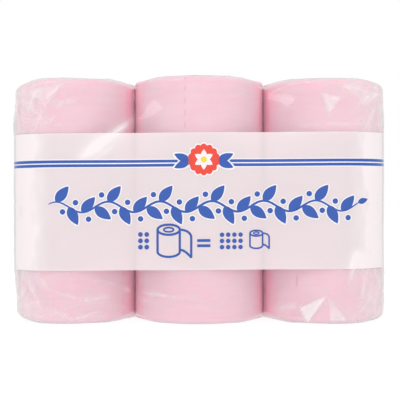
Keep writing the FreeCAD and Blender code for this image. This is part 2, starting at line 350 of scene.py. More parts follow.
# paper rolls
roll = {
    "around": 240,
    "wallRows": 40,
    "faceRings": 64,
    "turnDepth": 0.35,         # how far single turns stand out on a roll's face
    "turnCount": 15,           # turns that can be told apart on the face
    "innerRim": 1.6,           # rim at the end that meets the other roll
    "middleRim": 4.0,
    "outerRim": 4.8,
    "pressedRim": 0.7,         # share of the rim that is gone where two rolls press together
    "sheet": 118.0,            # length of one sheet between perforations
    "perforations": (-158.0, -150.0, -165.0, -152.0, -101.8, -160.0),   # degrees round each roll
    "tailAngle": 68.0,
    "tailStep": 0.4,
    "boreRadius": 20.3,
    "contactBulge": 0.75,
    "contactWidth": 9.0,
    "crown": 1.7,              # the middle upper roll's outer turns stand this much higher
}


def rollPiece(node, column, row, number):
    random.seed(100 + number)
    around = roll["around"]
    side, centreX, centreY, low = seat(column, row)
    radius = pack["rollRadius"] - 0.15
    openRim = roll["middleRim"] if side == 0 else roll["outerRim"]
    rims = (openRim, roll["innerRim"]) if row == "lower" else (roll["innerRim"], openRim)
    # half a section from the bore's foot, over the faces and the wall, to the bore's top
    bore, rings, rows, height = roll["boreRadius"], roll["faceRings"], roll["wallRows"], pack["rollHeight"]
    foot, head = radius - rims[0], radius - rims[1]
    quarter = [math.pi / 2 * k / 8 for k in range(9)]
    section = [(bore + (foot - bore) * k / rings, 0.0) for k in range(rings + 1)]
    section += [(foot + rims[0] * math.sin(a), rims[0] * (1 - math.cos(a))) for a in quarter[1:]]
    section += [(radius, rims[0] + (height - rims[0] - rims[1]) * k / rows) for k in range(1, rows)]
    section += [(head + rims[1] * math.cos(a), height - rims[1] * (1 - math.sin(a))) for a in quarter]
    section += [(head - (head - bore) * k / rings, height) for k in range(1, rings + 1)]
    section = np.array(section)
    angles = np.linspace(0, 2 * math.pi, around, endpoint=False)
    r = np.repeat(section[:, :1], around, axis=1)
    z = np.repeat(section[:, 1:], around, axis=1)
    a = np.repeat(angles[None, :], len(section), axis=0)
    # single turns stand out a little on the faces, each by its own amount
    share = (r - bore) / (radius - bore)
    turn = share * roll["turnCount"] + a / (2 * math.pi)
    steps = np.array([random.uniform(-1, 1) for _ in range(roll["turnCount"] + 3)])
    whole = np.clip(np.floor(turn).astype(int), 0, roll["turnCount"] + 1)
    part = turn - np.floor(turn)
    edge = np.clip(part / 0.25, 0, 1)
    depth = roll["turnDepth"] * (steps[whole] * edge + steps[whole - 1] * (1 - edge))
    flat = ((z < 1e-6) | (z > height - 1e-6)) & (share < 0.97)
    inwards = np.where(z < height / 2, 1, -1)
    relief = (roll["turnDepth"] + depth) * smooth(0.97, 0.85, share) * smooth(0.0, 0.06, share)
    z = z + np.where(flat, inwards * relief, 0)
    # the last turn ends in a small step, and the paper under it lies lower
    tail = math.radians(roll["tailAngle"])
    since = (a - tail) % (2 * math.pi)
    onWall = smooth(0.80, 0.95, share)
    r = r - roll["tailStep"] * smooth(0.35, 0.0, since) * onWall
    # soft hand-sized dents
    ring = np.stack([np.cos(a).ravel(), np.sin(a).ravel(), z.ravel() / 50], axis=1)
    r = r - (0.25 + 0.25 * cloudy(ring, 0.6, number).reshape(r.shape)) * onWall
    towards = np.abs(np.cos(a)) if side == 0 else -side * np.cos(a)
    inset = radius - r
    onRim = smooth(20, 6, inset) * (inset > 0.6)
    r = radius - inset * (1 - roll["pressedRim"] * smooth(0.90, 0.99, towards) * onRim)
    if side:
        # pressed flat by the folded film end
        flatten = pack["endFlat"] / np.clip(np.cos(a) * side, 0.02, 1)
        outline = (radius ** -14.0 + flatten ** -14.0) ** (-1 / 14)
        r = r - (radius - outline) * smooth(0.45, 0.95, share)
    x = r * np.cos(a)
    y = r * np.sin(a)
    # neighbours press small flats on each other
    for way in (-1, 1):
        if side != way:
            across = x * way
            bulge = roll["contactBulge"] * np.exp(-(y / roll["contactWidth"]) ** 4) * smooth(40, 52, across)
            x = np.where(across > 40, way * np.minimum(across + bulge * onWall, valleyPlace - 0.02), x)
    if column == "middle" and row == "upper":
        z = z + roll["crown"] * smooth(0.15, 0.8, share) * smooth(60, 92, z)
    px, pz = slumped(x + centreX, z + low)
    points = np.stack([px, y + centreY, pz], axis=2).reshape(-1, 3)
    piece = addPiece(node + "_paper", points, hoops(len(section), around), [pinkTissue])
    layer = piece.data.uv_layers.new(name="along the strip")
    corners = np.empty(len(piece.data.loops), np.int32)
    piece.data.loops.foreach_get("vertex_index", corners)
    strip = np.cumsum(np.r_[0, np.hypot(*np.diff(section, axis=0).T)])
    ringOf, place = corners // around, corners % around
    first = np.repeat(place[::4], 4)
    turned = np.where((place == 0) & (first == around - 1), around, place)
    uv = np.stack([turned / around * 2 * math.pi * radius + 37.0 * number, strip[ringOf]], axis=1) * mm
    layer.data.foreach_set("uv", uv.astype(np.float32).ravel())
    # painted shade at the step where each turn starts on a roll's faces; the perforations are added below
    dark = 1 - 0.16 * (1 - edge) * flat
    sheetAngle = roll["sheet"] / pack["rollRadius"]
    for count in range(2):
        hole = math.radians(roll["perforations"][number]) + count * sheetAngle
        off = np.abs((a - hole + math.pi) % (2 * math.pi) - math.pi) * pack["rollRadius"]
        dots = 0.5 + 0.5 * np.sign(np.sin(z * 2 * math.pi / 3.2))
        dark = dark * (1 - 0.10 * (off < 0.75) * dots * (share > 0.96))
    # painted bounce light: the pink is redder and deeper where two rolls press together, in place of the
    # light that bounces between them and passes through the plies
    paintedBounce = smooth(0.78, 0.97, towards) * onWall
    # painted shade: a short dark line on the lower right roll's wall stands for the shadow in a small
    # crease
    if number == 2:
        crease = np.abs((a - math.radians(237) + math.pi) % (2 * math.pi) - math.pi) * radius
        dark = dark * (1 - 0.14 * (crease < 0.75) * smooth(27, 30, z) * smooth(39, 36, z))
    tone, deep = dark.ravel(), paintedBounce.ravel()
    red, green = tone * (1 + 0.15 * deep), tone ** 1.6 * (1 - 0.10 * deep)
    blue = tone ** 1.4 * (1 - 0.03 * deep)
    paint(piece, "marks", np.stack([red, green, blue, np.ones_like(tone)], axis=1))
    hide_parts(node)
    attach(piece, "root")


for number, (row, column) in enumerate((row, column) for row in rows for column in columns):
    rollPiece(f"roll_{row}_{column}", column, row, number)
print("paper rolls made")


# cardboard cores
core = {"around": 96, "rows": 24, "outOfRound": 0.10, "edge": 0.2}


def corePiece(node, column, row, number):
    side, centreX, centreY, low = seat(column, row)
    outer = pack["coreRadius"] - 0.1
    inner = pack["coreRadius"] - pack["coreWall"]
    height, edge = pack["rollHeight"], core["edge"]
    section = [(inner, edge), (inner + edge, 0.0), (outer - edge, 0.0), (outer, edge)]
    section += [(outer, height * k / core["rows"]) for k in range(1, core["rows"])]
    section += [(outer, height - edge), (outer - edge, height)]
    section += [(inner + edge, height), (inner, height - edge)]
    section += [(inner, height * (1 - k / core["rows"])) for k in range(1, core["rows"])]
    points, uvs = [], []
    for i, (r, z) in enumerate(section):
        for k in range(core["around"]):
            a = 2 * math.pi * k / core["around"]
            # out of round, and the seam of the winding climbs as a faint ridge on the inside
            ridge = 0.12 * max(0, math.cos(a - z / 14 + number)) ** 60 * (r < inner + edge)
            rr = r - core["outOfRound"] * (0.5 + 0.5 * math.cos(2 * a + number)) - ridge
            points.append((centreX + rr * math.cos(a), centreY + rr * math.sin(a), low + z))
    count, around = len(section), core["around"]
    for i in range(count):
        here, above = section[i][1], section[(i + 1) % count][1]
        for k in range(around):
            for step, z in ((k, here), (k + 1, here), (k + 1, above), (k, above)):
                uvs.append((step / around * 2 * math.pi * outer * mm, z * mm))
    piece = addPiece(node + "_tube", points, hoops(count, around), [coreBoard])
    layer = piece.data.uv_layers.new(name="round the tube")
    layer.data.foreach_set("uv", np.array(uvs, np.float32).ravel())
    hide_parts(node)
    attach(piece, "root")


for number, (row, column) in enumerate((row, column) for row in rows for column in columns):
    corePiece(f"core_{row}_{column}", column, row, number)
print("cores made")


# film wrap
film = {
    "radius": 53.95,           # film round a column
    "endFlat": 45.75,          # film on the folded ends, from an outer column's axis
    "top": 195.65,
    "floor": 0.25,
    "valleyReach": 50.6,
    "valleyRadius": 59.2,
    "mouthReach": 37.5,        # how far the film sinks into a valley at the top and bottom
    "mouthRadius": 10.0,
    "mouthLength": 46.0,
    "middleRim": 4.4,
    "outerRim": 5.2,
    "notchStart": 6.0,
    "notchSlope": 0.29,
    "joint": 97.9,             # where the upper rolls stand on the lower ones
    "step": 1.5,               # spacing of the mesh along the pack
    "endSteps": 100,
    "capRings": 30,
    "rimRings": 8,
}
printing = {
    "bandLow": 43.4,
    "bandHigh": 152.1,
    "stripes": (125.2, 127.5, 128.4, 130.7),
    "halo": 0.7,
    "tilt": 0.0062,            # the print runs up a little to the right
}


def halfSpan(t, axisDepth, reach, radius):
    # film from a column's axis to the middle of a valley: round the roll, straight, then the valley's curve
    big = film["radius"]
    middle = reach + radius
    across, along = valleyPlace, middle - axisDepth
    lean = math.asin((big + radius) / math.hypot(across, along)) - math.atan2(along, across)
    leave, meet = big * math.sin(lean), valleyPlace - radius * math.sin(lean)
    straight = axisDepth + big * math.cos(lean) - (t - leave) * math.tan(lean)
    onRoll = axisDepth + np.sqrt(np.clip(big * big - t * t, 0, None))
    inValley = middle - np.sqrt(np.clip(radius * radius - (t - valleyPlace) ** 2, 0, None))
    return np.where(t < leave, onRoll, np.where(t < meet, straight, inValley))


def mouth(z):
    # 0 behind the printed band and 1 where the film turns over the rims
    fromRim = np.minimum(z, pack["height"] - z)
    return smooth(film["mouthLength"], 4.0, fromRim)


def ringAt(z):
    # the film's outline at one height, from the left end's middle round the front and back
    m = float(mouth(z)) ** 1.5
    reach = film["valleyReach"] + (film["mouthReach"] - film["valleyReach"]) * m
    radius = film["valleyRadius"] + (film["mouthRadius"] - film["valleyRadius"]) * m
    pitch = pack["columnPitch"]
    t = np.abs(frontX)
    near = t <= valleyPlace
    depths = []
    for face in (1, -1):
        middle = halfSpan(t, pack["middleForward"] * face, reach, radius)
        outer = halfSpan(pitch - t, -pack["middleForward"] * face, reach, radius)
        depths.append(np.where(near, middle, outer))
    front = np.stack([frontX, -depths[0]], axis=1)
    back = np.stack([frontX[::-1], depths[1][::-1]], axis=1)
    turn = np.linspace(-math.pi / 2, math.pi / 2, film["endSteps"] + 1)[1:-1]
    flat = film["endFlat"] / np.cos(turn)
    softness = 14.0
    length = (film["radius"] ** -softness + flat ** -softness) ** (-1 / softness)
    right = np.stack([pitch + length * np.cos(turn), pack["middleForward"] + length * np.sin(turn)], axis=1)
    left = np.stack([-pitch - length * np.cos(turn), pack["middleForward"] - length * np.sin(turn)], axis=1)
    return np.concatenate([front, right, back, left])


frontCount = int(round(2 * pack["columnPitch"] / film["step"])) + 1
frontX = np.linspace(-pack["columnPitch"], pack["columnPitch"], frontCount)


def rimSize(x):
    return film["middleRim"] + (film["outerRim"] - film["middleRim"]) * smooth(55, 110, np.abs(x))


def notch(x, y):
    # the film is pulled down into a V between two columns where it leaves the top
    depth = np.clip((np.abs(y) - film["notchStart"]) * film["notchSlope"], 0, None)
    off = np.abs(np.abs(x) - valleyPlace)
    wide = 5.0 + y * y / 107     # as far as the rims of the two rolls stand apart there
    return depth * np.clip(1 - off / wide, 0, 1)


def inwardOf(ring):
    along = np.roll(ring, -1, axis=0) - np.roll(ring, 1, axis=0)
    along /= np.linalg.norm(along, axis=1)[:, None]
    return np.stack([-along[:, 1], along[:, 0]], axis=1)


def medial(ring):
    pitch = pack["columnPitch"]
    return np.stack([np.clip(ring[:, 0], -pitch, pitch), np.zeros(len(ring))], axis=1)


def filmRows():
    # rows of the film from the middle of its underside to the middle of its top, and the ink of each
    low = ringAt(0.0)
    size = rimSize(low[:, 0])
    inward = inwardOf(low)
    inner = low + inward * size[:, None]
    target = medial(low)
    shapes, inks = [], []
    cap = []
    for k in range(film["capRings"]):
        t = (k / film["capRings"]) ** 0.85
        cap.append(target + (inner - target) * t)
    rim = []
    for k in range(film["rimRings"]):
        a = math.pi / 2 * k / film["rimRings"]
        rim.append((low + inward * (size * (1 - math.sin(a)))[:, None], math.cos(a)))
    for plan in cap:
        z = film["floor"] + notch(plan[:, 0], plan[:, 1])
        shapes.append((plan, z))
        inks.append("clear")
    for plan, rise in rim:
        z = film["floor"] + notch(plan[:, 0], plan[:, 1]) + size * (1 - rise)
        shapes.append((plan, z))
        inks.append("clear")
    bottom = film["floor"] + notch(low[:, 0], low[:, 1]) + size
    tilt = printing["tilt"] * low[:, 0]
    bandLow, bandHigh = printing["bandLow"], printing["bandHigh"]
    one, two, three, four = printing["stripes"]
    halo = printing["halo"]
    levels = [("clear", bottom, bandLow + tilt, 22)]
    marks = [(bandLow, one - halo, 42, "band"), (one - halo, one, 1, "white"), (one, two, 1, "blue"),
             (two, three, 1, "white"), (three, four, 1, "blue"), (four, four + halo, 1, "white"),
             (four + halo, bandHigh, 12, "band")]
    levels += [(ink, a + tilt, b + tilt, count) for a, b, count, ink in marks]
    levels.append(("clear", bandHigh + tilt, pack["height"] - bottom, 22))
    for ink, a, b, count in levels:
        for k in range(count):
            z = a + (b - a) * k / count
            plan = ringAt(float(np.mean(z)))
            shapes.append((plan, z))
            inks.append(ink)
    for plan, rise in rim[::-1] + [(plan, None) for plan in cap[::-1]]:
        lift = 0 if rise is None else size * (1 - rise)
        z = film["top"] - notch(plan[:, 0], plan[:, 1]) - lift
        shapes.append((plan, z))
        inks.append("clear")
    return shapes, inks


filmShapes, filmInks = filmRows()
filmPlan = np.array([plan for plan, z in filmShapes])
filmZ = np.array([z for plan, z in filmShapes])
ringCount, ringSize = filmZ.shape
wallRing = ringAt(midHeight)
steps = np.linalg.norm(np.roll(wallRing, -1, axis=0) - wallRing, axis=1)
along = np.r_[0, np.cumsum(steps)[:-1]]
girth = steps.sum()
frontMiddle = along[frontCount // 2]
# 0 in the middle of the front, growing to the right
along = (along - frontMiddle + girth / 2) % girth - girth / 2


def alongAt(x):
    return float(np.interp(x, frontX, along[:frontCount]))


# creases: from point to point on the unrolled wall, with width and height
crease = {
    "front": [
        (-97, 129, -50, 164, 2.6, 1.4), (-88, 126, -62, 146, 1.6, 0.8), (-107, 172, -92, 180, 1.3, 0.8),
        (-118, 156, -104, 160, 1.0, 0.6), (-110, 166, -98, 172, 1.0, 0.6), (-128, 150, -118, 176, 1.6, 0.9),
        (-121, 176, -108, 190, 1.5, 0.9), (-132, 168, -124, 190, 1.6, 1.0), (-96, 182, -84, 190, 1.2, 0.6),
        (-48, 26, -6, 19, 1.6, 0.7), (-52, 22, -20, 12, 1.5, 0.6), (-120, 30, -70, 12, 2.2, 0.9),
        (-128, 46, -112, 22, 2.0, 0.9), (-134, 40, -120, 10, 1.8, 0.9), (-110, 12, -70, 22, 1.6, 0.7),
        (-90, 36, -60, 30, 1.6, 0.5), (-60, 30, -54, 24, 1.2, 0.9),
        (100, 180, 108, 166, 1.4, 0.9), (98, 176, 122, 184, 1.4, 0.7), (112, 158, 128, 162, 1.3, 0.8),
        (120, 170, 134, 186, 1.6, 1.0), (126, 150, 138, 178, 1.8, 0.9), (104, 186, 130, 190, 1.4, 0.7),
        (80, 14, 102, 24, 1.5, 0.35), (102, 24, 90, 2, 1.3, 0.3), (104, 24, 114, 4, 1.6, 0.3),
        (60, 12, 84, 18, 1.6, 0.6), (122, 62, 116, 28, 2.2, 1.1), (130, 50, 124, 14, 2.0, 0.9),
        (114, 36, 128, 60, 1.8, 0.6), (136, 24, 120, 6, 1.6, 0.8), (20, 186, 44, 182, 1.4, 0.5),
        (-40, 186, -10, 188, 1.2, 0.4), (-30, 24, 30, 14, 2.0, 0.4), (60, 150, 100, 158, 1.8, 0.4),
    ],
    # painted highlights: soft bright streaks and three-cornered patches of white haze, standing for light
    # caught by the film's folds
    "glareStreaks": [
        (-104, 123, -44, 170, 3.6, 0.34), (124, 64, 115, 27, 3.0, 0.30), (-84, 144, -60, 160, 2.0, 0.14),
        (-114, 171, -96, 181, 1.2, 0.35), (-122, 156, -110, 166, 1.1, 0.30), (96, 160, 118, 158, 1.6, 0.25),
        (-48, 26, -6, 20, 1.0, 0.22), (76, 156, 98, 160, 1.2, 0.16), (-106, 1, -74, 12, 2.0, 0.35),
        (-100, 20, -66, 21, 3.2, 0.20), (-118, 14, -96, 2, 1.6, 0.30), (56, 10, 84, 15, 2.2, 0.18),
    ],
    "glareFacets": [
        ([(97, 184), (111, 179), (102, 166)], 0.40), ([(80, 13), (101, 23), (86, 0)], 0.60),
        ([(102, 22), (115, 3), (104, 3)], 0.40),
        ([(-131, 186), (-108, 190), (-118, 172)], 0.20), ([(112, 189), (139, 186), (128, 172)], 0.20),
    ],
    "cornerRays": 13,
    "backFolds": 46,
    "endFolds": 20,
    "topFolds": 60,
}


def ridges(px, pz, folds):
    total = np.zeros_like(px)
    for x0, z0, x1, z1, width, height in folds:
        length = math.hypot(x1 - x0, z1 - z0)
        ux, uz = (x1 - x0) / length, (z1 - z0) / length
        run = (px - x0) * ux + (pz - z0) * uz
        off = np.abs(-(px - x0) * uz + (pz - z0) * ux)
        off = off + 0.12 * width * np.sin(run / length * 9 + x0)
        fade = np.clip(np.minimum(run, length - run) / (0.35 * length), 0, 1)
        fade = fade * fade * (3 - 2 * fade)
        total = np.maximum(total, height * np.exp(-np.abs(off) / width) * fade)
    return total


def unrolled(x):
    near = float(np.clip(x, -107, 107))
    return alongAt(near) + (x - near) * 1.25


def unrolledFolds(folds):
    return [(unrolled(x0), z0, unrolled(x1), z1, width, height) for x0, z0, x1, z1, width, height in folds]


def glareTriangle(s, z, corners):
    # 1 inside a three-cornered patch of painted highlight, 0 outside
    corners = [(unrolled(x), height) for x, height in corners]
    inside = np.ones_like(s)
    for (x0, z0), (x1, z1) in zip(corners, corners[1:] + corners[:1]):
        length = math.hypot(x1 - x0, z1 - z0)
        within = ((s - x0) * (z1 - z0) - (z - z0) * (x1 - x0)) / length
        inside = np.minimum(inside, np.clip(0.5 + within / 1.4, 0, 1))
    return inside


def wallFolds():
    folds = unrolledFolds(crease["front"])
    random.seed(11)
    endStart = alongAt(pack["columnPitch"])
    half = girth / 2
    for sideways in (-1, 1):
        for corner in (endStart + 52, endStart + 112):   # both sides of the flat end
            middle = sideways * corner
            for level, up in ((4, 1), (192, -1)):
                for k in range(crease["cornerRays"]):
                    lean = math.radians(random.uniform(8, 172))
                    start, length = random.uniform(3, 14), random.uniform(14, 46)
                    cx, cz = middle + random.uniform(-5, 5), level
                    ux, uz = math.cos(lean), math.sin(lean) * up
                    reach = start + length
                    folds.append((cx + ux * start, cz + uz * start, cx + ux * reach, cz + uz * reach,
                                  random.uniform(1.2, 2.4), random.uniform(0.2, 0.7)))
    for _ in range(crease["backFolds"]):
        cx = half + random.uniform(-150, 150)
        cz = random.choice((random.uniform(6, 45), random.uniform(150, 190), random.uniform(40, 150)))
        lean, length = random.uniform(0, math.pi), random.uniform(14, 44)
        height = random.uniform(0.3, 1.1) if not 42 < cz < 151 else random.uniform(0.15, 0.5)
        for turn in (0, -girth):
            folds.append((cx + turn - math.cos(lean) * length / 2, cz - math.sin(lean) * length / 2,
                          cx + turn + math.cos(lean) * length / 2, cz + math.sin(lean) * length / 2,
                          random.uniform(1.0, 2.2), height))
    return folds


def topFolds(seed):
    random.seed(seed)
    folds = []
    for _ in range(crease["topFolds"]):
        x0 = random.uniform(-150, 150)
        y0 = random.choice((-1, 1)) * random.uniform(8, 50)
        lean = random.gauss(math.pi / 2, 0.5) if abs(x0) < 100 else random.gauss(0, 0.35)
        length = random.uniform(12, 38)
        run = math.sin(lean) * length * (1 if y0 > 0 else -1)
        folds.append((x0, y0, x0 + math.cos(lean) * length, y0 + run,
                      random.uniform(0.9, 2.0), random.uniform(0.3, 1.0)))
    for side in (-1, 1):
        for face in (-1, 1):
            for k in range(7):
                lean = math.radians(random.uniform(20, 160))
                x0, y0, length = side * valleyPlace, face * 44, random.uniform(14, 30)
                folds.append((x0 + math.cos(lean) * 5, y0 - face * math.sin(lean) * 5,
                              x0 + math.cos(lean) * length, y0 - face * math.sin(lean) * length,
                              random.uniform(0.9, 1.6), random.uniform(0.4, 0.9)))
    return folds


def shapeFilm():
    plan, z = filmPlan.copy(), filmZ.copy()
    firstWall = film["capRings"] + film["rimRings"]
    lastWall = ringCount - firstWall
    s = np.repeat(along[None, :], ringCount, axis=0)
    lift = ridges(s, z, wallFolds())
    turn = (s / girth * 2 * math.pi).ravel()
    soft = np.stack([np.cos(turn) * girth / 6.28, np.sin(turn) * girth / 6.28, z.ravel()], axis=1)
    slack = cloudy(soft, 34.0, 3).reshape(z.shape)
    fine = cloudy(soft, 9.0, 5).reshape(z.shape)
    inBand = smooth(36, 50, z) * smooth(157, 143, z)
    loose = 0.25 + 0.28 * slack + (0.16 - 0.08 * inBand) * fine
    lift = lift * (1 - 0.45 * inBand)
    onWall = np.zeros(z.shape)
    onWall[firstWall:lastWall] = 1
    for k in range(film["rimRings"]):
        share = (k + 1) / (film["rimRings"] + 1)
        onWall[film["capRings"] + k] = share
        onWall[ringCount - 1 - film["capRings"] - k] = share
    rimOutward = -inwardOf(ringAt(0.0))
    outward = np.array([-inwardOf(ring) if firstWall <= i < lastWall else rimOutward
                        for i, ring in enumerate(plan)])
    # a faint line at the left corner where the upper roll stands on the lower one
    corner = alongAt(pack["columnPitch"])
    joint = 0.3 * np.exp(-((z - film["joint"]) / 1.6) ** 2) * smooth(corner + 17, corner + 22, -s)
    grow = np.clip(lift + loose - joint, 0, 3.0) * onWall
    plan += outward * grow[:, :, None]
    # top and underside
    capShare = 1 - onWall
    for level, seed in ((0, 21), (1, 22)):
        area = slice(0, ringCount // 2) if level == 0 else slice(ringCount // 2, ringCount)
        px, py = plan[area, :, 0], plan[area, :, 1]
        rise = ridges(px, py, topFolds(seed))
        flatPoints = np.stack([px.ravel(), py.ravel(), np.full(px.size, 50.0 + seed)], axis=1)
        wave = cloudy(flatPoints, 22.0, seed).reshape(px.shape)
        if level == 0:
            # the pack stands on it, so the film lies flat there
            z[area] += np.clip(0.25 * wave + 0.2, 0, 0.5) * capShare[area]
        else:
            sag = np.zeros(px.shape)
            for cx, cy in ((-pack["columnPitch"], 1), (0, -1), (pack["columnPitch"], 1)):
                sag += 1.6 * smooth(19, 6, np.hypot(px - cx, py - cy))
            seam = 1.6 * np.exp(-(np.abs(np.abs(px) - valleyPlace) / 4.0) ** 2) * smooth(50, 10, np.abs(py))
            z[area] += (rise + 0.25 * wave + 0.2 - sag - seam) * capShare[area]
    z += roll["crown"] * smooth(60, 20, np.abs(plan[:, :, 0])) * smooth(160, 193, z)
    # haze where the film is crumpled or lies in several layers; the whiter haze along the creases is partly
    # painted highlight, and the bright streaks and triangles below are painted highlight
    far, behind = np.abs(s), girth / 2 - corner
    sideHaze = smooth(corner + 8, corner + 38, far) * smooth(behind - 8, behind - 38, far)
    rimHaze = smooth(26, 4, np.minimum(z, pack["height"] - z)) * smooth(corner - 20, corner + 20, far)
    streak = cloudy(soft * np.array([1, 1, 0.35]), 6.0, 9).reshape(z.shape)
    hazeAndGlare = 0.42 * sideHaze * (0.75 + 0.35 * streak) + 0.22 * rimHaze * (0.8 + 0.6 * streak) * (1 - sideHaze)
    hazeAndGlare += 0.26 * np.clip(lift, 0, 1.2) * onWall
    # painted highlight: listed bright streaks and triangles of white haze on the film
    hazeAndGlare += ridges(s, z, unrolledFolds(crease["glareStreaks"]))
    for corners, amount in crease["glareFacets"]:
        hazeAndGlare += amount * glareTriangle(s, z, corners)
    x, z = slumped(plan[:, :, 0], z)
    return np.stack([x, plan[:, :, 1]], axis=2), z, np.clip(hazeAndGlare, 0, 0.8)


plan, z, hazeAndGlare = shapeFilm()
points = np.concatenate([plan, z[:, :, None]], axis=2).reshape(-1, 3)
inkOrder = {"clear": 0, "band": 1, "blue": 2, "white": 3}
faceInks = []
for i in range(ringCount - 1):
    for k in range(ringSize):
        after = (k + 1) % ringSize
        # the sheet under the end flaps is the clear top and bottom, tucked in
        tucked = abs(wallRing[k, 0]) > 130 and abs(wallRing[k, 1] + wallRing[after, 1]) < 61.0
        faceInks.append(0 if tucked else inkOrder[filmInks[i]])
filmFaces = hoops(ringCount, ringSize, False)
filmInkings = [clearFilm, milkyBand, blueInk, whiteInk]
filmPiece = addPiece("film_wrap_sheet", points, filmFaces, filmInkings, faceInks)
paintHazeAndGlare(filmPiece, hazeAndGlare)
weld(filmPiece)
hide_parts("film_wrap")
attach(filmPiece, "root")
print("film made:", len(filmPiece.data.polygons), "faces")

filmCorners = [v.co / mm for v in filmPiece.data.vertices]
filmTree = BVHTree.FromPolygons(filmCorners, [tuple(p.vertices) for p in filmPiece.data.polygons])


# folded ends: on each, a front and a back flap over the tucked top and bottom, and the upright heat seal
flap = {
    "root": 32.0,              # from the middle of the end to where the flap starts
    "overlap": 5.0,
    "cornerHeight": 20.0,      # where the diagonal fold starts, above the underside
    "step": 1.4,
    "lift": {"front": 0.35, "back": 0.65},
    "sealWidth": 9.0,
    "sealPitch": 1.3,          # one crimp of the heat seal
    "sealDepth": 0.14,
}


def printLevels(low, high, step):
    # heights and inks of the film's rows between two heights
    one, two, three, four = printing["stripes"]
    halo = printing["halo"]
    edges = [(low, "clear"), (printing["bandLow"], "band"), (one - halo, "white"), (one, "blue"),
             (two, "white"), (three, "blue"), (four, "white"), (four + halo, "band"),
             (printing["bandHigh"], "clear"), (high, None)]
    levels = []
    for (a, ink), (b, _) in zip(edges, edges[1:]):
        count = max(1, int(round((b - a) / step)))
        levels += [(a + (b - a) * k / count, ink) for k in range(count)]
    return levels + [(high, None)]


def endFlap(side, which):
    face = -1 if which == "front" else 1
    name = f"film_flap_{'left' if side < 0 else 'right'}_{which}"
    length = flap["root"] + flap["overlap"]
    count = int(length / flap["step"])
    levels = printLevels(flap["cornerHeight"], pack["height"] - flap["cornerHeight"], 2.0)
    bm = bmesh.new()
    grid = [[bm.verts.new((0, length * k / count, z)) for k in range(count + 1)] for z, _ in levels]
    for i, (z, ink) in enumerate(levels[:-1]):
        for k in range(count):
            square = bm.faces.new((grid[i][k], grid[i][k + 1], grid[i + 1][k + 1], grid[i + 1][k]))
            square.material_index = inkOrder[ink]
    for corner, way in ((flap["cornerHeight"], -1), (pack["height"] - flap["cornerHeight"], 1)):
        everything = bm.verts[:] + bm.edges[:] + bm.faces[:]
        bmesh.ops.bisect_plane(bm, geom=everything, plane_co=(0, 0, corner), plane_no=(0, 1, way),
                               clear_outer=True)
    bm.verts.ensure_lookup_table()
    random.seed(60 + side + face * 3)
    folds = []
    for _ in range(26):
        q0, z0 = random.uniform(4, 40), random.uniform(14, 182)
        lean = random.gauss(0, 0.5) if 50 < z0 < 145 else random.gauss(math.copysign(0.8, z0 - 98), 0.3)
        run = random.uniform(10, 30)
        folds.append((q0, z0, q0 + math.cos(lean) * run, z0 - math.sin(lean) * run,
                      random.uniform(0.8, 1.8), random.uniform(0.2, 0.7)))
    q = np.array([v.co.y for v in bm.verts])
    z = np.array([v.co.z for v in bm.verts])
    rise = ridges(q, z, folds) * smooth(0, 6, q)
    soft = cloudy(np.stack([q, z, np.full(q.size, 7.0 * side + face)], axis=1), 14.0, 31)
    diagonals = np.minimum(z, pack["height"] - z) - flap["cornerHeight"] - q
    edge = np.minimum(length - q, diagonals)
    curl = 0.5 * np.exp(-np.clip(edge, 0, None) / 2.0) * (0.6 + 0.4 * soft)
    thick = 0.06 + (flap["lift"][which] + rise + 0.2 * soft + curl) * smooth(0, 14, q)
    for index, v in enumerate(bm.verts):
        y, height = face * (flap["root"] - q[index]), z[index] + printing["tilt"] * side * 153
        hit = filmTree.ray_cast(Vector((side * 220, y, height)), Vector((-side, 0, 0)))[0]
        v.co = Vector((hit.x + side * thick[index], y, height)) * mm
    bmesh.ops.recalc_face_normals(bm, faces=bm.faces)
    piece = addShaped(name, bm, filmInkings)
    # whiter along the folds and at the cut edge; the whitening along the folds is partly painted highlight
    hazeAndGlare = np.clip(0.05 + 0.30 * rise + 0.10 * soft + 0.25 * np.exp(-np.clip(edge, 0, None) / 0.8), 0, 0.7)
    paintHazeAndGlare(piece, hazeAndGlare)
    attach(piece, "root")


def heatSeal(side):
    name = f"film_seal_{'left' if side < 0 else 'right'}"
    low = flap["root"] + flap["cornerHeight"] + 1
    high = pack["height"] - low
    endX = pack["columnPitch"] + film["endFlat"]
    rowsUp = int((high - low) / (flap["sealPitch"] / 4))
    points, faces, hazeAndGlare = [], [], []
    across = 12
    for i in range(rowsUp + 1):
        height = low + (high - low) * i / rowsUp
        for k in range(across + 1):
            y = flap["sealWidth"] * (k / across - 0.5)
            crimped = abs(y) < flap["sealWidth"] * 0.42
            crimp = flap["sealDepth"] * math.sin(2 * math.pi * height / flap["sealPitch"]) * crimped
            wave = 0.12 * noise.noise(Vector((y / 4, height / 9, side * 3.0)))
            hit = filmTree.ray_cast(Vector((side * 220, y, height)), Vector((-side, 0, 0)))[0]
            points.append((hit.x * 0.15 + side * (endX * 0.85 + 1.6 + crimp + wave), y, height))
            hazeAndGlare.append(0.30 + 0.12 * (crimp > 0))
    for i in range(rowsUp):
        for k in range(across):
            a = i * (across + 1) + k
            faces.append((a, a + 1, a + across + 2, a + across + 1))
    piece = addPiece(name, points, faces, [clearFilm])
    paintHazeAndGlare(piece, hazeAndGlare)
    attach(piece, "root")


for side in (-1, 1):
    endFlap(side, "front")
    endFlap(side, "back")
    heatSeal(side)
print("ends folded")


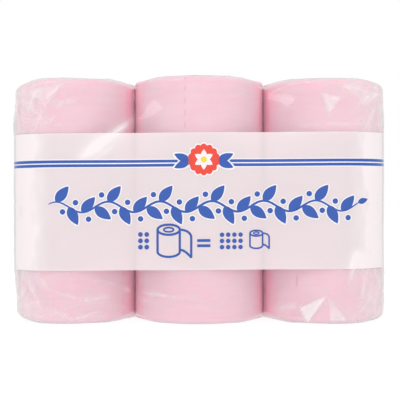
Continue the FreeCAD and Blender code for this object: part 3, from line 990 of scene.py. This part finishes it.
# printed shapes, laid on the film
def layOn(name, shapes, material, lift, face):
    # shapes are flat outlines in x and z; they are cut into narrow strips and laid on the film
    bm = bmesh.new()
    for outline in shapes:
        corners = [bm.verts.new((x, 0, z)) for x, z in outline]
        bm.faces.new(corners)
    bmesh.ops.triangulate(bm, faces=bm.faces)
    xs = [v.co.x for v in bm.verts]
    zs = [v.co.z for v in bm.verts]
    for axis, low, high, step in ((0, min(xs), max(xs), 1.8), (2, min(zs), max(zs), 3.0)):
        normal = Vector((1, 0, 0)) if axis == 0 else Vector((0, 0, 1))
        for k in range(1, int((high - low) / step) + 1):
            place = normal * (low + k * step)
            everything = bm.verts[:] + bm.edges[:] + bm.faces[:]
            bmesh.ops.bisect_plane(bm, geom=everything, plane_co=place, plane_no=normal)
    for v in bm.verts:
        x = v.co.x * (1 if face < 0 else -1)
        z = v.co.z + printing["tilt"] * x
        hit = filmTree.ray_cast(Vector((x, face * 120, z)), Vector((0, -face, 0)))[0]
        v.co = Vector((x, hit.y + face * lift, z)) * mm
    piece = addShaped(name, bm, (material,))
    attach(piece, "root")


def arc(x, z, reach, rise, start, end, count):
    # points on part of an ellipse, from one angle in degrees to another
    turns = [math.radians(start + (end - start) * k / count) for k in range(count + 1)]
    return [(x + reach * math.cos(a), z + rise * math.sin(a)) for a in turns]


def disc(x, z, r, count=28):
    return arc(x, z, r, r, 0, 360, count)[:-1]


def leafShape(x, z, lean, length, width, grow=0.0):
    # from its stalk at x, z, pointed at the tip
    ux, uz = math.cos(lean), math.sin(lean)
    x, z = x - ux * grow, z - uz * grow
    length += 2.2 * grow
    side = []
    for k in range(1, 14):
        t = k / 14
        side.append((t * length, (width / 2) * math.sin(math.pi * t ** 0.8) ** 0.85 + grow))
    outline = [(0, 0)] + side + [(length, 0)] + [(a, -b) for a, b in side[::-1]]
    return [(x + a * ux - b * uz, z + a * uz + b * ux) for a, b in outline]


def stroke(path, width, closed=False):
    # a line of even width, as one outline for each stretch
    quads = []
    pts = path + [path[0]] if closed else path
    for (x0, z0), (x1, z1) in zip(pts, pts[1:]):
        length = math.hypot(x1 - x0, z1 - z0)
        ux, uz = (x1 - x0) / length * width / 2, (z1 - z0) / length * width / 2
        quads.append([(x0 - uz - ux * 0.3, z0 + ux - uz * 0.3), (x1 - uz + ux * 0.3, z1 + ux + uz * 0.3),
                      (x1 + uz + ux * 0.3, z1 - ux + uz * 0.3), (x0 + uz - ux * 0.3, z0 - ux - uz * 0.3)])
    return quads


def ribbonLine(path, width):
    # one outline round a smooth line that narrows at both ends
    left, right = [], []
    for k, (x, z) in enumerate(path):
        a, b = path[max(k - 1, 0)], path[min(k + 1, len(path) - 1)]
        length = math.hypot(b[0] - a[0], b[1] - a[1])
        nx, nz = -(b[1] - a[1]) / length, (b[0] - a[0]) / length
        t = k / (len(path) - 1)
        half = width / 2 * (0.35 + 0.65 * math.sin(math.pi * t) ** 0.3) if 0 < t < 1 else width * 0.17
        left.append((x + nx * half, z + nz * half))
        right.append((x - nx * half, z - nz * half))
    return left + right[::-1]


motif = {
    "badgeAt": (3.9, 130.6), "badgeRadius": 12.6, "scallops": 14,
    "sprigFrom": -119.0, "sprigTo": 127.0, "sprigLevel": 93.6, "sprigSwing": 4.2, "sprigWave": 41.0,
    "leafLength": 16.0, "leafWidth": 8.2, "stem": 1.8, "halo": 0.8,
}


def scalloped(x, z, radius, bite, count):
    outline = []
    for k in range(count * 8):
        a = 2 * math.pi * k / (count * 8)
        r = radius - bite * (1 - abs(math.sin(a * count / 2)))
        outline.append((x + r * math.cos(a), z + r * math.sin(a)))
    return outline


def sprigHeight(x):
    return motif["sprigLevel"] + motif["sprigSwing"] * math.sin(2 * math.pi * x / motif["sprigWave"])


def sprigShapes(grow):
    stem = [(motif["sprigFrom"] + (motif["sprigTo"] - motif["sprigFrom"]) * k / 160, 0) for k in range(161)]
    stem = [(x, sprigHeight(x)) for x, _ in stem]
    shapes = [ribbonLine(stem, motif["stem"] + 2 * grow)]
    quarter = motif["sprigWave"] / 4
    x = motif["sprigFrom"] + 6
    up = 1
    while x < motif["sprigTo"] - 8:
        pace = 2 * math.pi / motif["sprigWave"]
        slope = motif["sprigSwing"] * pace * math.cos(pace * x)
        lean = 0.4 * math.atan(slope) + up * math.radians(50)
        shapes.append(leafShape(x, sprigHeight(x), lean, motif["leafLength"], motif["leafWidth"], grow))
        shapes.append(disc(x + 5.4, sprigHeight(x + 5.4) - up * 6.6, 2.2 + grow, 20))
        x += quarter
        up = -up
    shapes.append(leafShape(motif["sprigTo"] - 1, sprigHeight(motif["sprigTo"]), 0.3, 9, 4.6, grow))
    return shapes


def rollSign(x, z, w, h, line):
    # the plain sign for a roll: an upright cylinder with its hole and a hanging sheet
    body = w * 0.66
    ry = h * 0.16
    cx, top, foot = x - (w - body) / 2, z + h / 2 - ry, z - h / 2 + ry * 0.9
    ring = arc(cx, top, body / 2, ry, 0, 360, 40)[:-1]
    hole = arc(cx, top, body * 0.22, ry * 0.42, 0, 360, 24)[:-1]
    base = [(cx - body / 2, top)] + arc(cx, foot, body / 2, ry, 180, 360, 20) + [(cx + body / 2, top)]
    right, low, swing = x + w / 2, foot - ry * 1.1, ry * 1.5
    hang = right - cx - body / 2
    sheet = arc(cx + body / 2, top - swing, hang, swing, 90, 0, 8)
    sheet += [(right - hang * k / 6, low + swing * math.sin(math.pi / 2 * k / 6)) for k in range(7)]
    rounds = stroke(ring, line, True) + stroke(hole, line * 0.75, True)
    return rounds + stroke(base, line) + stroke(sheet, line)


def dots(x, z, across, down, pitch, r):
    return [disc(x + (i - (across - 1) / 2) * pitch, z + (k - (down - 1) / 2) * pitch, r, 20)
            for i in range(across) for k in range(down)]


def bar(x, z, w, h):
    return [(x - w / 2, z - h / 2), (x + w / 2, z - h / 2), (x + w / 2, z + h / 2), (x - w / 2, z + h / 2)]


def badgeWings(grow):
    # a pair of leaves on each side of the badge
    wings = []
    for sideways, up in ((-1, -1), (-1, 1), (1, -1), (1, 1)):
        lean = math.radians(90 - sideways * (90 - up * 24))
        wings.append(leafShape(badgeX + sideways * 11.0, badgeZ - 1.0, lean, 13.5, 6.2, grow))
    return wings


def badge(grow):
    return [scalloped(badgeX, badgeZ, motif["badgeRadius"] + grow, 1.4, motif["scallops"])]


badgeX, badgeZ = motif["badgeAt"]
petals = [leafShape(badgeX, badgeZ, math.radians(90 + 60 * k), 8.0, 4.8) for k in range(6)]
heart = [disc(badgeX, badgeZ, 2.4)]
counting = dots(-43.7, 66.7, 2, 3, 5.0, 1.9) + dots(25.6, 66.3, 4, 3, 4.9, 1.8)
signs = rollSign(-19.3, 66.9, 26.6, 25.0, 1.8) + rollSign(48.0, 67.4, 15.2, 14.0, 1.3)
bars = [bar(3.9, 66.8, 10.4, 2.2), bar(3.9, 62.7, 10.4, 2.2)]
prints = [                     # label, shapes, ink, height over the film
    ("sprig_halo", sprigShapes(motif["halo"]), whiteInk, 0.10),
    ("sprig", sprigShapes(0.0), blueInk, 0.20),
    ("badge_halo", badge(1.1), whiteInk, 0.12),
    ("badge", badge(0.0), redInk, 0.22),
    ("wing_halo", badgeWings(0.9), whiteInk, 0.10),
    ("wings", badgeWings(0.0), blueInk, 0.16),
    ("flower", petals, whiteInk, 0.30),
    ("heart", heart, yellowInk, 0.38),
    ("signs", counting + signs + bars, blueInk, 0.16),
]
for face, where in ((-1, "front"), (1, "back")):
    for label, shapes, ink, lift in prints:
        layOn(f"print_{where}_{label}", shapes, ink, lift, face)
print("print laid on")


# floor, light and camera
stage = {"colour": (0.9, 0.9, 0.9, 1), "glow": 1.09, "glowShare": 0.45, "seenShare": 0.35}


def makeStage():
    mesh = bpy.data.meshes.new("floor")
    mesh.from_pydata([(-6, -3, 0), (6, -3, 0), (6, 6, 0), (-6, 6, 0)], [], [(0, 1, 2, 3)])
    floor = bpy.data.objects.new("floor", mesh)
    bpy.context.scene.collection.objects.link(floor)
    material, nodes, shader = newMaterial("pale floor")
    fill(shader, {"Base Color": stage["colour"], "Roughness": 0.9, "Specular IOR Level": 0.0})
    glow = addNode(nodes, "ShaderNodeEmission", 0, 200)
    fill(glow, {"Color": (1, 1, 1, 1), "Strength": stage["glow"]})
    path = addNode(nodes, "ShaderNodeLightPath", -500, 400)
    seen = addNode(nodes, "ShaderNodeMath", -300, 400, operation="MAXIMUM")
    wire(path, "Is Camera Ray", seen, 0)
    wire(path, "Is Glossy Ray", seen, 1)
    share = addNode(nodes, "ShaderNodeMath", -100, 400, operation="MULTIPLY_ADD")
    fill(share, {1: stage["seenShare"], 2: stage["glowShare"]})
    wire(seen, 0, share, 0)
    mix = addNode(nodes, "ShaderNodeMixShader", 200, 200)
    wire(share, 0, mix, "Fac")
    wire(shader, 0, mix, 1)
    wire(glow, 0, mix, 2)
    wire(mix, 0, nodes["Material Output"], "Surface")
    mesh.materials.append(material)


light = {
    "world": 0.79,
    "lamps": [                 # place, size, power, seen in the film's shine
        ((-0.95, -1.15, 1.35), (0.6, 0.6), 3.1, True),
        ((1.05, -1.05, 1.25), (0.7, 0.7), 2.7, False),
        ((0.0, 1.3, 1.4), (0.9, 0.9), 5.4, False),
        ((-0.1, -1.7, 0.30), (2.2, 0.5), 6.8, False),
    ],
}


def lightScene():
    world = bpy.data.worlds.new("studio")
    bpy.context.scene.world = world
    world.use_nodes = True
    nodes = world.node_tree.nodes
    soft = nodes["Background"]
    fill(soft, {"Color": (1, 1, 1, 1), "Strength": light["world"]})
    backdrop = addNode(nodes, "ShaderNodeBackground", 0, -200)
    fill(backdrop, {"Color": (1, 1, 1, 1), "Strength": 1.0})
    path = addNode(nodes, "ShaderNodeLightPath", -500, 300)
    seen = addNode(nodes, "ShaderNodeMath", -300, 300, operation="MAXIMUM")
    wire(path, "Is Camera Ray", seen, 0)
    wire(path, "Is Glossy Ray", seen, 1)
    mix = addNode(nodes, "ShaderNodeMixShader", 200, 0)
    wire(seen, 0, mix, "Fac")
    wire(soft, 0, mix, 1)
    wire(backdrop, 0, mix, 2)
    wire(mix, 0, nodes["World Output"], "Surface")
    target = Vector((0, 0, midHeight * mm))
    for number, (place, size, power, glints) in enumerate(light["lamps"]):
        data = bpy.data.lights.new(f"softbox {number + 1}", "AREA")
        data.shape = "RECTANGLE"
        data.size, data.size_y = size
        data.energy = power
        lamp = bpy.data.objects.new(data.name, data)
        bpy.context.scene.collection.objects.link(lamp)
        lamp.visible_glossy = glints
        lamp.location = place
        lamp.rotation_euler = (target - Vector(place)).to_track_quat("-Z", "Y").to_euler()


camera = {"distance": 0.8, "lens": 85.2, "aimX": 0.9, "aimZ": 98.7}


def placeCamera():
    data = bpy.data.cameras.new("camera")
    data.lens = camera["lens"]
    data.sensor_width = 36
    eye = bpy.data.objects.new("camera", data)
    bpy.context.scene.collection.objects.link(eye)
    eye.location = (camera["aimX"] * mm, -camera["distance"], camera["aimZ"] * mm)
    eye.rotation_euler = (math.radians(90), 0, 0)
    data.clip_start = 0.01
    bpy.context.scene.camera = eye


makeStage()
lightScene()
placeCamera()
bpy.context.scene.view_settings.view_transform = "Standard"
print("stage, light and camera set")
